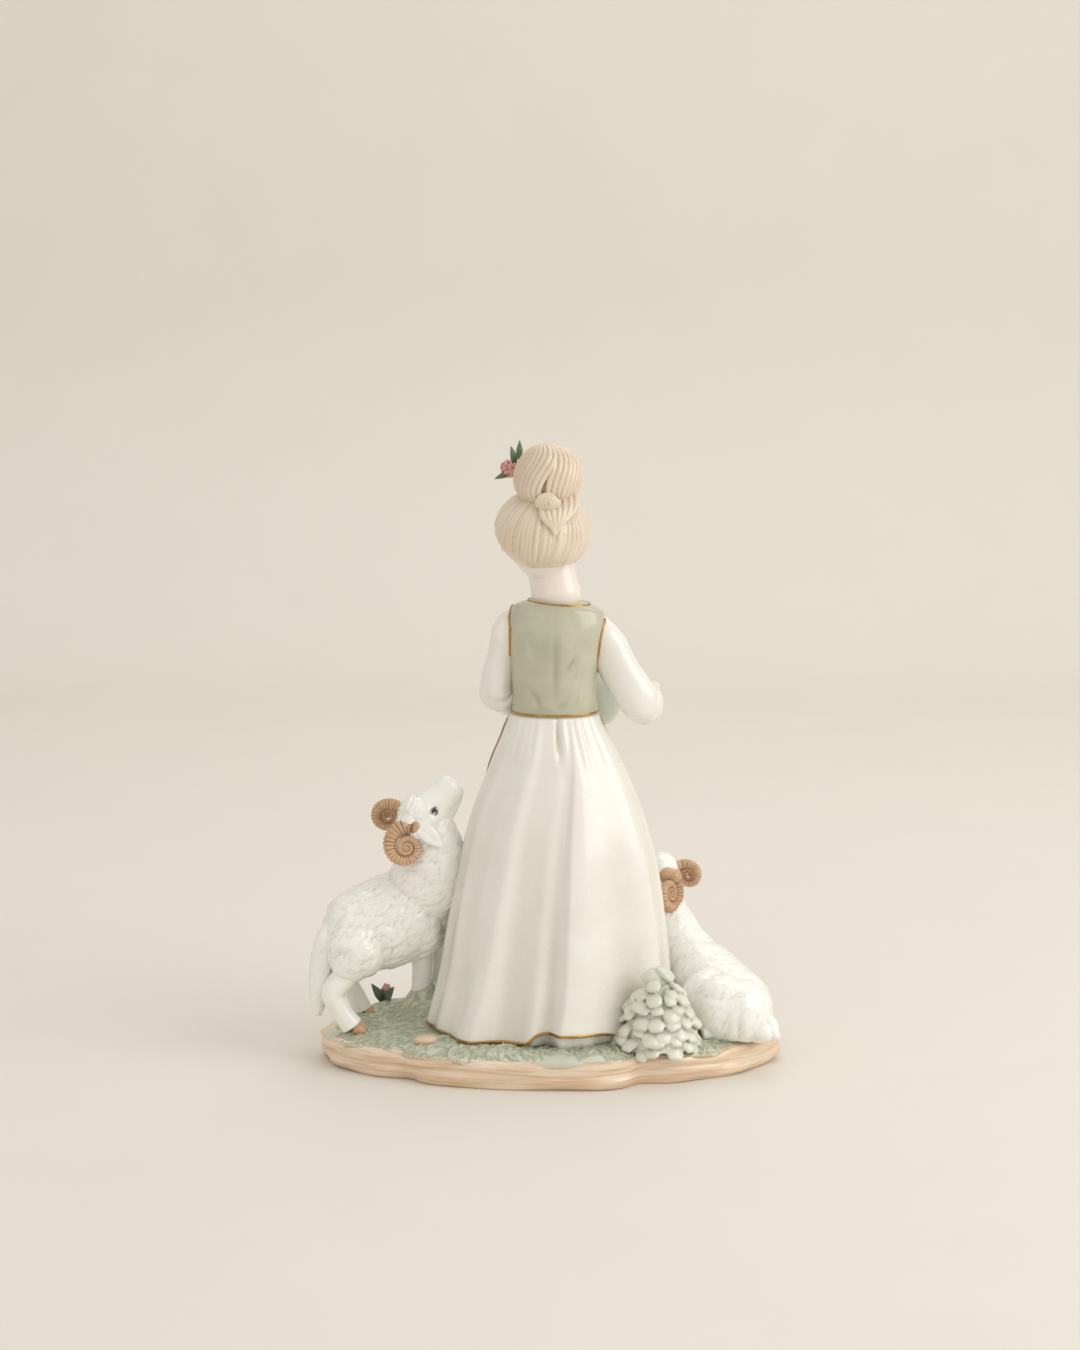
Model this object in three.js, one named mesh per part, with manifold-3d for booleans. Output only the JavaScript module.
// Porcelain figurine: a girl in a long skirt stands between two rams on an oval base.
// Units are millimetres and +Z is up. The girl's back faces -Y, her right arm is on +X, and the
// origin is the middle of the flat underside. A figurine of this kind is slip-cast in many small
// moulds and luted together with slip, so each casting is its own mesh here, set 0.3 mm from the next.
import * as THREE from 'three';
import { mergeVertices } from 'three/addons/utils/BufferGeometryUtils.js';
import Module from 'manifold-3d';

const wasm = await Module();
wasm.setup();

// ---- driving dimensions -------------------------------------------------------------------------
const GAP = 0.3;                 // clearance between neighbouring castings
const WALL = 3;                  // slip-cast wall thickness
const BASE_HALF = { x: 95, y: 50.5 };
const BASE_HEIGHT = 11;          // height of the slab's rolled rim
const VENT_RADIUS = 3;           // vent holes that let air out of the hollow base in the kiln
const VENT_X = 45;
const TURF_HEIGHT = 14;
const HEM_HEIGHT = 15.5;
const WAIST_HEIGHT = 144;
const NECKLINE_HEIGHT = 190;
const FIGURE_X = { hem: 0.6, waist: 2.6 };   // the girl leans a little to the right of the base's middle

const COLOURS = {
  tan: [0xd8b28a, 0.28], turf: [0xd3dccb, 0.32], white: [0xf3f1ea, 0.12], sage: [0xc3c9b4, 0.15],
  skin: [0xf4e6dc, 0.16], hair: [0xdcc5ab, 0.2], horn: [0xcf9f74, 0.35], leaf: [0x5f6f52, 0.5],
  pink: [0xd9a49c, 0.45], cloth: [0xe6ebdd, 0.15],
};

// ---- from three.js geometry to a solid and back -------------------------------------------------
function toSolid(geometry) {
  const bare = geometry.index ? geometry.toNonIndexed() : geometry.clone();
  bare.deleteAttribute('normal');
  bare.deleteAttribute('uv');
  const merged = mergeVertices(bare, 1e-4);
  const corners = merged.index.array;
  const kept = [];
  for (let i = 0; i < corners.length; i += 3) {
    const [a, b, c] = [corners[i], corners[i + 1], corners[i + 2]];
    if (a !== b && b !== c && c !== a) kept.push(a, b, c);
  }
  return new wasm.Manifold(new wasm.Mesh({
    numProp: 3,
    vertProperties: new Float32Array(merged.attributes.position.array),
    triVerts: new Uint32Array(kept),
  }));
}

// The largest closed body of a solid, because a cut can leave slivers behind.
function toGeometry(solid) {
  const bodies = solid.decompose().sort((a, b) => b.volume() - a.volume());
  const mesh = bodies[0].getMesh();
  const points = new Float32Array(mesh.numVert * 3);
  for (let i = 0; i < mesh.numVert; i++) {
    points.set(mesh.vertProperties.subarray(i * mesh.numProp, i * mesh.numProp + 3), i * 3);
  }
  return new THREE.BufferGeometry()
    .setAttribute('position', new THREE.BufferAttribute(points, 3))
    .setIndex(new THREE.BufferAttribute(new Uint32Array(mesh.triVerts), 1));
}

// The same surface moved along its vertex normals by a distance.
function grown(geometry, distance) {
  const bare = geometry.clone();
  bare.deleteAttribute('normal');
  bare.deleteAttribute('uv');
  const merged = mergeVertices(bare, 1e-4);
  merged.computeVertexNormals();
  const { position, normal } = merged.attributes;
  for (let i = 0; i < position.count; i++) {
    position.setXYZ(i, position.getX(i) + normal.getX(i) * distance,
      position.getY(i) + normal.getY(i) * distance, position.getZ(i) + normal.getZ(i) * distance);
  }
  return merged;
}

const join = (...pieces) => toGeometry(pieces.map(toSolid).reduce((whole, next) => whole.add(next)));

function cut(piece, ...tools) {
  return toGeometry(tools.reduce((left, tool) => left.subtract(toSolid(tool)), toSolid(piece)));
}

// Cuts a piece back by a gap from each neighbour, or by the tool that a neighbour carries for this.
function clear(piece, ...neighbours) {
  return cut(piece, ...neighbours.map((other) => other.trims ?? grown(other, GAP)));
}

const overlap = (piece, tool) => toGeometry(toSolid(piece).intersect(toSolid(tool)));

// ---- shapes -------------------------------------------------------------------------------------
const vec = (x, y, z) => new THREE.Vector3(x, y, z);
const RAD = Math.PI / 180;

// Moves every vertex of a geometry by a function of its position.
function reshaped(geometry, move) {
  const { position } = geometry.attributes;
  const point = vec(0, 0, 0);
  for (let i = 0; i < position.count; i++) {
    move(point.fromBufferAttribute(position, i));
    position.setXYZ(i, point.x, point.y, point.z);
  }
  return geometry;
}

// An ellipsoid, turned by Euler angles in degrees.
function blob(centre, radii, turn = [0, 0, 0], detail = [10, 7]) {
  const geometry = new THREE.SphereGeometry(1, ...detail).scale(...radii);
  const angles = turn.map((degrees) => degrees * RAD);
  geometry.applyQuaternion(new THREE.Quaternion().setFromEuler(new THREE.Euler(...angles, 'ZYX')));
  return geometry.translate(...centre);
}

// A lathe about the Z axis from [radius, height] points.
function turned(profile, segments) {
  const points = profile.map(([radius, height]) => new THREE.Vector2(radius, height));
  return new THREE.LatheGeometry(points, segments).rotateX(Math.PI / 2);
}

// Values along 0..1, joined by straight lines.
function between(values, t) {
  const place = Math.min(Math.max(t, 0), 1) * (values.length - 1);
  const low = Math.min(Math.floor(place), values.length - 2);
  return THREE.MathUtils.lerp(values[low], values[low + 1], place - low);
}

// A round bar bent along a smooth curve, with its radius given at even steps and squeezed by flat.
function limb(points, radii, { sides = 9, steps = 6, flat = 1 } = {}) {
  const curve = new THREE.CatmullRomCurve3(points.map((p) => vec(...p)));
  const frames = curve.computeFrenetFrames(steps);
  const bar = new THREE.CylinderGeometry(1, 1, 1, sides, steps);
  return reshaped(bar, (p) => {
    const t = p.y + 0.5;
    const frame = Math.round(t * steps);
    const radius = between(radii, t);
    const across = frames.normals[frame].clone().multiplyScalar(-p.x * radius);
    const up = frames.binormals[frame].clone().multiplyScalar(p.z * radius * flat);
    p.copy(curve.getPoint(t)).add(across).add(up);
  });
}

function piece(name, geometry, colour) {
  const [hex, roughness] = COLOURS[colour];
  const glaze = new THREE.MeshStandardMaterial({ color: hex, roughness, metalness: 0 });
  const mesh = new THREE.Mesh(geometry, glaze);
  mesh.name = name;
  return mesh;
}

// ---- base ---------------------------------------------------------------------------------------
// The rim wanders in and out: two slow waves and two pinched notches on the near side.
function rimAt(angle) {
  const notch = (at, depth, width) => depth * Math.exp(-(((angle - at) / width) ** 2));
  return 1 + 0.012 * Math.sin(3 * angle) + 0.01 * Math.cos(4 * angle)
    - notch(-1.1, 0.07, 0.09) - notch(-2.3, 0.035, 0.08);
}

function onBase(geometry) {
  return reshaped(geometry, (p) => {
    const rim = rimAt(Math.atan2(p.y, p.x));
    p.x *= BASE_HALF.x * rim;
    p.y *= BASE_HALF.y * rim;
  });
}

function baseSlab() {
  const floor = 4;
  const profile = [[0, 0], [0.965, 0], [0.995, 3], [0.995, 8], [0.965, BASE_HEIGHT],
    [0.93, BASE_HEIGHT], [0.93, floor], [0, floor]];
  const tray = onBase(turned(profile, 40));
  const vent = (x) => new THREE.CylinderGeometry(VENT_RADIUS, VENT_RADIUS, 3 * floor, 12)
    .rotateX(Math.PI / 2).translate(x, 0, 0);
  return cut(tray, vent(-VENT_X), vent(VENT_X));
}

const TURF_TOP = [[0.955, 12], [0.86, 13.1], [0.5, TURF_HEIGHT], [0, TURF_HEIGHT]];

function turfGround() {
  const under = BASE_HEIGHT + GAP;
  return onBase(turned([[0, under], [0.955, under], ...TURF_TOP], 40));
}

// The turf with a gap above it and solid ground below, which trims whatever stands on it.
function groundTool() {
  const lifted = TURF_TOP.map(([radius, height]) => [radius, height + GAP]);
  return onBase(turned([[0, -40], [1.2, -40], [1.2, 12 + GAP], ...lifted], 40));
}

// ---- the girl's clothes -------------------------------------------------------------------------
// Half-widths of the figure from the hem to the waist, and how deep it is for its width.
const SKIRT_PROFILE = [
  [49.6, HEM_HEIGHT], [48, 33], [44.8, 58], [40, 84], [34.2, 105], [26.3, 125], [17.4, WAIST_HEIGHT],
];
const DEPTH_SHARE = 0.76;
const PLEATS = 9;

function onFigure(geometry, pleats = 0) {
  return reshaped(geometry, (p) => {
    const angle = Math.atan2(p.y, p.x);
    const flare = THREE.MathUtils.smoothstep(WAIST_HEIGHT - p.z, 5, 90);
    const wave = 1 + pleats * flare * Math.cos(PLEATS * angle + 0.5);
    p.x = p.x * wave + THREE.MathUtils.mapLinear(p.z, HEM_HEIGHT, WAIST_HEIGHT, FIGURE_X.hem, FIGURE_X.waist);
    p.y *= DEPTH_SHARE * wave;
  });
}

const SKIRT_SIDES = 36;
const PLEAT_DEPTH = 0.018;

function skirt() {
  const wall = SKIRT_PROFILE.filter((_, i) => i % 2 === 0).map(([radius, z]) => [radius - WALL, z]).reverse();
  wall[0][1] = WAIST_HEIGHT - WALL;
  const profile = [...SKIRT_PROFILE, [0, WAIST_HEIGHT], [0, WAIST_HEIGHT - WALL], ...wall, SKIRT_PROFILE[0]];
  return onFigure(turned(profile, SKIRT_SIDES), PLEAT_DEPTH);
}

// The same bell with no hollow, down to the hem, which trims whatever leans on the skirt.
function skirtTool() {
  const filled = turned([[0, HEM_HEIGHT], ...SKIRT_PROFILE, [0, WAIST_HEIGHT]], SKIRT_SIDES);
  return grown(onFigure(filled, PLEAT_DEPTH), GAP);
}

function petticoat() {
  const foot = TURF_HEIGHT + GAP;
  const top = foot + 9;
  const profile = [[41.5, foot], [45, foot], [44, top], [41, top], [41.5, foot]];
  return onFigure(turned(profile, SKIRT_SIDES));
}

// The apron hangs over the front of the skirt as a thin shaped panel.
function apron() {
  const profile = SKIRT_PROFILE.filter(([, z]) => z > 40).map(([radius, z]) => [radius * 1.02 + 2.6, z]);
  const bell = onFigure(turned([[0, 45], ...profile, [0, WAIST_HEIGHT]], SKIRT_SIDES));
  const outline = new THREE.Shape();
  outline.moveTo(-13, WAIST_HEIGHT - 1);
  outline.quadraticCurveTo(-34, 100, -30, 66);
  outline.quadraticCurveTo(0, 40, 30, 66);
  outline.quadraticCurveTo(34, 100, 13, WAIST_HEIGHT - 1);
  outline.closePath();
  const panel = new THREE.ExtrudeGeometry(outline, { depth: 60, bevelEnabled: false, curveSegments: 6 });
  panel.rotateX(Math.PI / 2).rotateZ(Math.PI).translate(FIGURE_X.waist, 6, 0);
  return overlap(bell, panel);
}

function bodice(neckGeometry) {
  const profile = [[0, 144.5], [17.2, 144.5], [17.2, 148], [18, 158], [19.6, 168], [20, 176], [18.5, 183],
    [14, 188], [9, NECKLINE_HEIGHT], [0, NECKLINE_HEIGHT]];
  const trunk = onFigure(turned(profile, 20));
  const hollow = profile.slice(2, 8).map(([radius, z]) => [radius - WALL, z - WALL]);
  const inside = onFigure(turned([[0, 140], [14.2, 140], ...hollow, [0, 184]], 12));
  return clear(cut(trunk, inside), neckGeometry);
}

const SLEEVES = {
  left: {
    points: [[-12.5, -2, 182], [-17, -4, 168], [-19.5, -4.5, 153], [-13, 6, 146.5], [-2, 18, 146]],
    radii: [7.5, 9, 9, 8.5, 7.2, 6, 5],
  },
  right: {
    points: [[18, -1, 180.5], [26.5, -3, 165], [36.5, -4, 149], [40, 6, 146], [42, 18, 149]],
    radii: [8, 10, 9.5, 8.6, 7.4, 6.2, 5],
  },
};

// A palm with its joined fingers, and a thumb lying on one side of it.
function hand(wrist, reach, side) {
  const along = (share, out = 0, lift = 0) => {
    const [x, y, z] = wrist.map((value, axis) => value + reach[axis] * share);
    return [x + side * out, y, z + lift];
  };
  const palmShape = { sides: 8, steps: 4, flat: 0.6 };
  const palm = limb([along(0), along(0.5), along(1)], [2.6, 3.6, 3.4, 1.6], palmShape);
  const thumbPoints = [along(0.3), along(0.5, 3, 1.5), along(0.8, 3.4, 2)];
  const thumb = limb(thumbPoints, [1.5, 1.4, 0.9], { sides: 6, steps: 3 });
  return join(palm, thumb);
}

// ---- head and hair ------------------------------------------------------------------------------
const HEAD = vec(-3.2, 1, 217);
const FACE_TURN = 28 * RAD;      // the head looks to its left, towards the standing ram
const FACE_NOD = 16 * RAD;

// From the head's own frame (nose along +Y) to its place on the neck.
function onNeck(geometry) {
  return geometry.rotateX(-FACE_NOD).rotateZ(FACE_TURN).translate(HEAD.x, HEAD.y, HEAD.z);
}

function head() {
  const skull = blob([0, 0, 0], [16.5, 18, 16], [0, 0, 0], [14, 8]);
  const jaw = blob([0, 6, -8.5], [12.5, 12, 10.5], [0, 0, 0], [10, 6]);
  const nose = blob([0, 18, -4.5], [1.8, 2.4, 2.4], [0, 0, 0], [6, 5]);
  return onNeck(join(skull, jaw, nose));
}

function hairCap(...neighbours) {
  const cap = blob([0, -1.5, 2.5], [19.6, 19.6, 17], [0, 0, 0], [14, 8]);
  const face = new THREE.CylinderGeometry(14.5, 17, 40, 16).translate(0, 20, 0);
  face.rotateX(-18 * RAD).translate(0, 4, -5);
  const nape = blob([0, -9, -6], [13, 9.5, 12.5], [0, 0, 0], [9, 6]);
  return clear(onNeck(cut(join(cap, nape), face)), ...neighbours);
}

// ---- leaves and flowers -------------------------------------------------------------------------
function leaf(foot, tip, width) {
  const middle = foot.map((value, i) => (value + tip[i]) / 2);
  const radii = [0.5, width * 0.8, width, width * 0.7, 0.3];
  return limb([foot, middle, tip], radii, { sides: 6, steps: 4, flat: 0.35 });
}

// A rounded bloom: petals in a ring about a swollen middle, tipped towards -Y.
function flower(centre, radius, petals) {
  const petal = radius * 0.55;
  const ring = Array.from({ length: petals }, (_, i) => {
    const angle = (i / petals) * 2 * Math.PI;
    const offset = vec(petal * Math.cos(angle), petal * 0.8 * Math.sin(angle), petal * 0.6 * Math.sin(angle));
    return blob(offset.add(vec(...centre)).toArray(), [petal, petal, petal], [0, 0, 0], [6, 4]);
  });
  return join(blob(centre, [petal, petal, petal], [0, 0, 0], [6, 5]), ...ring);
}

// ---- rams ---------------------------------------------------------------------------------------
// A ram's horn leaves the poll, goes up and back, and closes in a shrinking spiral beside the neck.
const HORN_TURNS = 1.15;

function horn(side) {
  const stations = 14;
  const points = Array.from({ length: stations + 1 }, (_, i) => {
    const t = i / stations;
    const angle = 25 * RAD + t * HORN_TURNS * 2 * Math.PI;
    const reach = 8.4 * (1 - 0.62 * t) + 5.8 * (1 - t) ** 6;
    return [-18 + reach * Math.cos(angle), side * (5.5 + 8.5 * Math.sqrt(t)), 2 + reach * Math.sin(angle)];
  });
  return limb(points, [2.9, 3.1, 2.8, 2.1, 1.1], { sides: 7, steps: 18 });
}

// A drooping leaf-shaped ear.
function ear(side) {
  const points = [[-1, side * 6, 0], [0.5, side * 11, -4], [3, side * 15, -9]];
  return limb(points, [1, 3, 2.8, 0.5], { sides: 6, steps: 4, flat: 0.4 });
}

// A head along +X with its horns and ears, as geometries in the head's own frame.
function ramHead() {
  const skull = blob([0, 0, 0], [9, 7.6, 8], [0, 0, 0], [12, 8]);
  const muzzlePoints = [[0, 0, -1], [8, 0, -1.5], [15.5, 0, -2.5]];
  const skullAndMuzzle = join(skull, limb(muzzlePoints, [6.5, 6, 5, 4.6, 3], { sides: 10, steps: 4 }));
  const parts = { head: skullAndMuzzle };
  for (const [name, side] of [['left', 1], ['right', -1]]) {
    const curl = clear(horn(side), skullAndMuzzle);
    parts[`horn_${name}`] = curl;
    parts[`ear_${name}`] = clear(ear(side), skullAndMuzzle, curl);
  }
  return parts;
}

function placed(geometry, { at, yaw, pitch, roll, size = 1 }) {
  const set = geometry.clone().scale(size, size, size);
  return set.rotateX(roll * RAD).rotateY(-pitch * RAD).rotateZ(yaw * RAD).translate(...at);
}

function ram(prefix, pose, ...against) {
  const shapes = {};
  const parts = ramHead();
  shapes.head = placed(parts.head, pose.head);
  shapes.body = clear(limb(pose.body.points, pose.body.radii, { sides: 14, steps: 7 }), ...against);
  const throat = limb(pose.neck.points, pose.neck.radii, { sides: 11, steps: 5 });
  shapes.neck = clear(throat, shapes.body, shapes.head, ...against);
  for (const name of ['horn_left', 'horn_right', 'ear_left', 'ear_right']) {
    shapes[name] = clear(placed(parts[name], pose.head), shapes.neck, shapes.body, ...against);
  }
  const dock = limb(pose.tail.points, pose.tail.radii, { sides: 8, steps: 5 });
  shapes.tail = clear(dock, shapes.body, ...against);
  for (const [name, leg] of Object.entries(pose.legs)) {
    const hoof = clear(blob(leg.hoof, [4.2, 3.2, 3], [0, 0, leg.yaw], [8, 6]), ...against);
    const shank = limb(leg.points, leg.radii, { sides: 7, steps: 4 });
    shapes[`${name}_hoof`] = hoof;
    shapes[`${name}_leg`] = clear(shank, shapes.body, shapes.neck, shapes.tail, hoof, ...against);
  }
  return Object.entries(shapes).map(([name, shape]) =>
    piece(`${prefix}_${name}`, shape, /horn|hoof/.test(name) ? 'horn' : 'white'));
}

const STANDING = {
  head: { at: [-49, 3, 102], yaw: 14, pitch: 46, roll: 14 },
  body: {
    points: [[-88, -1, 54], [-77, 2, 57], [-64, 7, 60], [-53, 12, 62]],
    radii: [9, 15.5, 18.5, 19.5, 19, 17, 11],
  },
  neck: { points: [[-50, 11, 62], [-49, 8, 78], [-50, 5, 95]], radii: [16.5, 16, 14, 11, 8.5] },
  tail: {
    points: [[-89, -5, 58], [-92, -6, 48], [-92.3, -6, 34], [-91.5, -6, 18]],
    radii: [2.5, 3.6, 3.9, 3.9, 2.6],
  },
  legs: {
    hind_right: { points: [[-80, -8, 50], [-83, -10, 38], [-87, -11, 29], [-83, -11, 20], [-80, -11, 15]],
      radii: [9, 7, 4.8, 3.8, 3.4], hoof: [-78.5, -11, 16], yaw: 20 },
    hind_left: { points: [[-78, 10, 48], [-80, 12, 37], [-82, 14, 28], [-79, 14.5, 20], [-77, 14.5, 15]],
      radii: [8, 6.5, 4.6, 3.6, 3.4], hoof: [-75.5, 14.5, 16], yaw: 20 },
    fore_right: { points: [[-55, 5, 52], [-52, 8, 40], [-52, 11, 28], [-54, 12, 16]],
      radii: [7, 5.4, 4, 3.4], hoof: [-53.5, 12.5, 16], yaw: 20 },
    fore_left: { points: [[-50, 20, 52], [-48, 23, 40], [-48.5, 24.5, 28], [-50, 25, 16]],
      radii: [6.5, 5, 4, 3.4], hoof: [-49.5, 25.5, 16], yaw: 20 },
  },
};

const LYING = {
  head: { at: [38, 36, 68], yaw: 157, pitch: 12, roll: 6, size: 0.82 },
  body: {
    points: [[86, -17, 27], [80, -9, 29], [70, 6, 33], [61, 18, 37]],
    radii: [9, 15, 17, 17.5, 17, 14, 9],
  },
  neck: { points: [[63, 19, 38], [57, 28, 51], [46, 35, 64]], radii: [14, 13, 11.5, 9.5, 8] },
  tail: { points: [[91, -18, 30], [93.5, -21, 23], [93.5, -23, 16]], radii: [2.4, 2.9, 2.6, 1.6] },
  legs: {
    fore_left: { points: [[58, 27, 27], [48, 33, 20], [40, 39, 17.5]],
      radii: [5.5, 4.2, 3.4], hoof: [36.5, 40, 17], yaw: 160 },
    fore_right: { points: [[71, 26, 27], [68, 33, 20], [62, 37.5, 17.5]],
      radii: [5, 4, 3.2], hoof: [59, 38, 17], yaw: 140 },
    hind_left: { points: [[76, -14, 27], [73, -20, 22], [74, -27, 17]],
      radii: [10, 8, 4], hoof: [76.5, -29.5, 16.5], yaw: -40 },
  },
};

// ---- plants on the base -------------------------------------------------------------------------
// A heap of rounded leaves against the skirt, in rings that rise to a point.
const BUSH = { at: [44, -32, 12], radii: [15, 12, 28] };

function bush(...neighbours) {
  const leaves = [];
  for (let row = 0; row < 3; row++) {
    const count = 6 - row;
    const lift = (row * 26 + 8) * RAD;
    for (let i = 0; i < count; i++) {
      const angle = (-165 + (row % 2) * 14 + (i * 170) / count) * RAD;
      const outward = [Math.cos(lift) * Math.cos(angle), Math.cos(lift) * Math.sin(angle), Math.sin(lift)];
      const place = BUSH.at.map((value, axis) => value + BUSH.radii[axis] * outward[axis]);
      leaves.push(blob(place, [5, 4.5, 5], [0, 0, 0], [6, 4]));
    }
  }
  return clear(join(blob(BUSH.at, BUSH.radii), ...leaves), ...neighbours);
}

// ---- assembly -----------------------------------------------------------------------------------
const turf = turfGround();
turf.trims = groundTool();
const skirtShape = skirt();
skirtShape.trims = skirtTool();
const underskirt = petticoat();

const headShape = head();
const throat = limb([[3.2, -1, 184], [2.4, 0, 196], [-0.5, 2, 208]], [9.6, 8.6, 8.2, 8.2], { sides: 14 });
const neckShape = clear(throat, headShape);
const hair = hairCap(headShape, neckShape);
const bun = clear(blob([0, 0, 242], [13.4, 13, 12.8], [0, 0, 0], [16, 10]), hair, headShape);
const lock = limb([[-1, -12, 233], [1.5, -17.5, 229], [3, -19, 222.5], [2.6, -18.4, 218]], [3, 4, 3.4, 1.2]);
const blossom = clear(flower([-17, 1, 243.5], 3.6, 5), bun);
const hairLeaf = (foot, tip) => clear(leaf(foot, tip, 2), bun, blossom);

const bodiceShape = bodice(neckShape);
const sleeve = ({ points, radii }) =>
  clear(limb(points, radii, { sides: 11, steps: 8 }), bodiceShape, skirtShape);
const leftSleeve = sleeve(SLEEVES.left);
const rightSleeve = sleeve(SLEEVES.right);
const pouch = blob([17.5, 25.5, 149], [14, 11, 15], [0, 14, 0], [12, 8]);
const bundle = clear(pouch, bodiceShape, skirtShape, leftSleeve, rightSleeve);
const leftHand = clear(hand([-2, 18, 146], [10, 9, -1], 1), leftSleeve, bundle);
const rightHand = clear(hand([42, 18, 149], [2, 13, 2], -1), rightSleeve, bundle);
const greens = blob([14, 25, 163], [11, 8.5, 6], [0, 10, 0], [12, 8]);
const fodder = clear(greens, bundle, bodiceShape, leftSleeve, rightSleeve);
const apronShape = clear(apron(), skirtShape, bundle, leftHand, leftSleeve);

const dressed = [turf, skirtShape, underskirt, apronShape];
const standing = ram('standing_ram', STANDING, ...dressed);
const lying = ram('lying_ram', LYING, ...dressed);
const shapesOf = (meshes, pattern) => meshes.filter((m) => pattern.test(m.name)).map((m) => m.geometry);
const bank = clear(blob([-45, -5, 12], [8, 13, 21]), ...dressed, ...shapesOf(standing, /body|fore_right/));
const shrub = bush(...dressed, ...shapesOf(lying, /body|leg|hoof/));
const sprigBud = clear(blob([-70, 27, 18.5], [1.6, 1.6, 3.2], [0, 0, 0], [8, 6]), turf);
const sprigLeaf = (foot, tip) => clear(leaf(foot, tip, 2.4), turf, sprigBud);
const pebble = clear(blob([-50, -28, 14.5], [5.5, 3.6, 2.4], [0, 0, 10], [10, 7]), turf);

const figurine = new THREE.Group();
figurine.add(
  piece('base_slab', baseSlab(), 'tan'),
  piece('turf_ground', turf, 'turf'),
  piece('grass_bank', bank, 'turf'),
  piece('pebble', pebble, 'tan'),
  piece('sprig_bud', sprigBud, 'pink'),
  piece('sprig_leaf_left', sprigLeaf([-71, 26, 14], [-75, 25, 24]), 'leaf'),
  piece('sprig_leaf_right', sprigLeaf([-69, 26, 14], [-65, 26, 23]), 'leaf'),
  piece('bush', shrub, 'turf'),
  piece('petticoat', underskirt, 'white'),
  piece('skirt', skirtShape, 'white'),
  piece('apron', apronShape, 'cloth'),
  piece('bodice', bodiceShape, 'sage'),
  piece('sleeve_left', leftSleeve, 'white'),
  piece('sleeve_right', rightSleeve, 'white'),
  piece('hand_left', leftHand, 'skin'),
  piece('hand_right', rightHand, 'skin'),
  piece('kerchief_bundle', bundle, 'cloth'),
  piece('fodder_leaves', fodder, 'leaf'),
  piece('fodder_flower', clear(flower([24, 26, 165], 3.4, 5), bundle, fodder), 'pink'),
  piece('neck', neckShape, 'skin'),
  piece('head', headShape, 'skin'),
  piece('hair_cap', hair, 'hair'),
  piece('hair_bun', bun, 'hair'),
  piece('hair_curl', clear(lock, bun, hair), 'hair'),
  piece('hair_flower', blossom, 'pink'),
  piece('hair_leaf_upper', hairLeaf([-14.5, 0, 243.5], [-15.5, -2, 252.5]), 'leaf'),
  piece('hair_leaf_back', hairLeaf([-11.5, 6, 247], [-12.5, 7, 254]), 'leaf'),
  piece('hair_leaf_lower', hairLeaf([-15.5, 0, 240.5], [-22, -2, 238.5]), 'leaf'),
  ...standing,
  ...lying,
);

export default figurine;
